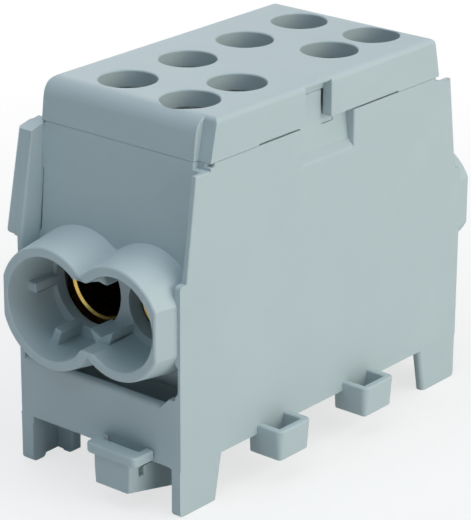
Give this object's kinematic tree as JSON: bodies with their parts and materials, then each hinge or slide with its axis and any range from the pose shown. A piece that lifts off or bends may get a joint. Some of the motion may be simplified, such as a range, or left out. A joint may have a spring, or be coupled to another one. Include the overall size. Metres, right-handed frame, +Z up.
{
  "type": "main terminal block",
  "caption": "Grey rail-mounted main terminal block: moulded housing with double cable sockets at both ends, brass bar, clamp screws under a lift-off cover and a pull-out rail latch.",
  "frame": {"origin": "middle of the mounting rail under the block, on the rail seat", "axes": "+X along the cables away from the pull loop of the latch, +Y along the rail towards the ears, +Z up towards the cover"},
  "size_m": [0.0674, 0.0343, 0.0522],
  "materials": {
    "housing_grey": "fine matte moulded polyamide",
    "terminal_brass": "machined",
    "clamp_screw_steel": "zinc plated"
  },
  "bodies": {
    "housing": {"housing": "housing_grey", "terminal_bar": "terminal_brass"},
    "cover": {"cover": "housing_grey"},
    "rail_latch": {"rail_latch": "housing_grey"},
    "clamp_screw_a1": {"clamp_screw_a1": "clamp_screw_steel"},
    "clamp_screw_a2": {"clamp_screw_a2": "clamp_screw_steel"},
    "clamp_screw_a3": {"clamp_screw_a3": "clamp_screw_steel"},
    "clamp_screw_a4": {"clamp_screw_a4": "clamp_screw_steel"},
    "clamp_screw_b1": {"clamp_screw_b1": "clamp_screw_steel"},
    "clamp_screw_b2": {"clamp_screw_b2": "clamp_screw_steel"},
    "clamp_screw_b3": {"clamp_screw_b3": "clamp_screw_steel"},
    "clamp_screw_b4": {"clamp_screw_b4": "clamp_screw_steel"}
  },
  "joints": [
    {"name": "cover_lift", "type": "slide", "parent": "housing", "child": "cover", "axis": [0, 0, 1], "range_m": [0, 0.02]},
    {"name": "latch_slide", "type": "slide", "parent": "housing", "child": "rail_latch", "axis": [-1, 0, 0], "range_m": [0, 0.0024], "stiffness_N_per_m": 600},
    {"name": "screw_a1_drive", "type": "slide", "parent": "housing", "child": "clamp_screw_a1", "axis": [0, 0, -1], "range_m": [0, 0.0085]},
    {"name": "screw_a2_drive", "type": "slide", "parent": "housing", "child": "clamp_screw_a2", "axis": [0, 0, -1], "range_m": [0, 0.0085]},
    {"name": "screw_a3_drive", "type": "slide", "parent": "housing", "child": "clamp_screw_a3", "axis": [0, 0, -1], "range_m": [0, 0.0085]},
    {"name": "screw_a4_drive", "type": "slide", "parent": "housing", "child": "clamp_screw_a4", "axis": [0, 0, -1], "range_m": [0, 0.0085]},
    {"name": "screw_b1_drive", "type": "slide", "parent": "housing", "child": "clamp_screw_b1", "axis": [0, 0, -1], "range_m": [0, 0.0067]},
    {"name": "screw_b2_drive", "type": "slide", "parent": "housing", "child": "clamp_screw_b2", "axis": [0, 0, -1], "range_m": [0, 0.0067]},
    {"name": "screw_b3_drive", "type": "slide", "parent": "housing", "child": "clamp_screw_b3", "axis": [0, 0, -1], "range_m": [0, 0.0067]},
    {"name": "screw_b4_drive", "type": "slide", "parent": "housing", "child": "clamp_screw_b4", "axis": [0, 0, -1], "range_m": [0, 0.0067]}
  ]
}
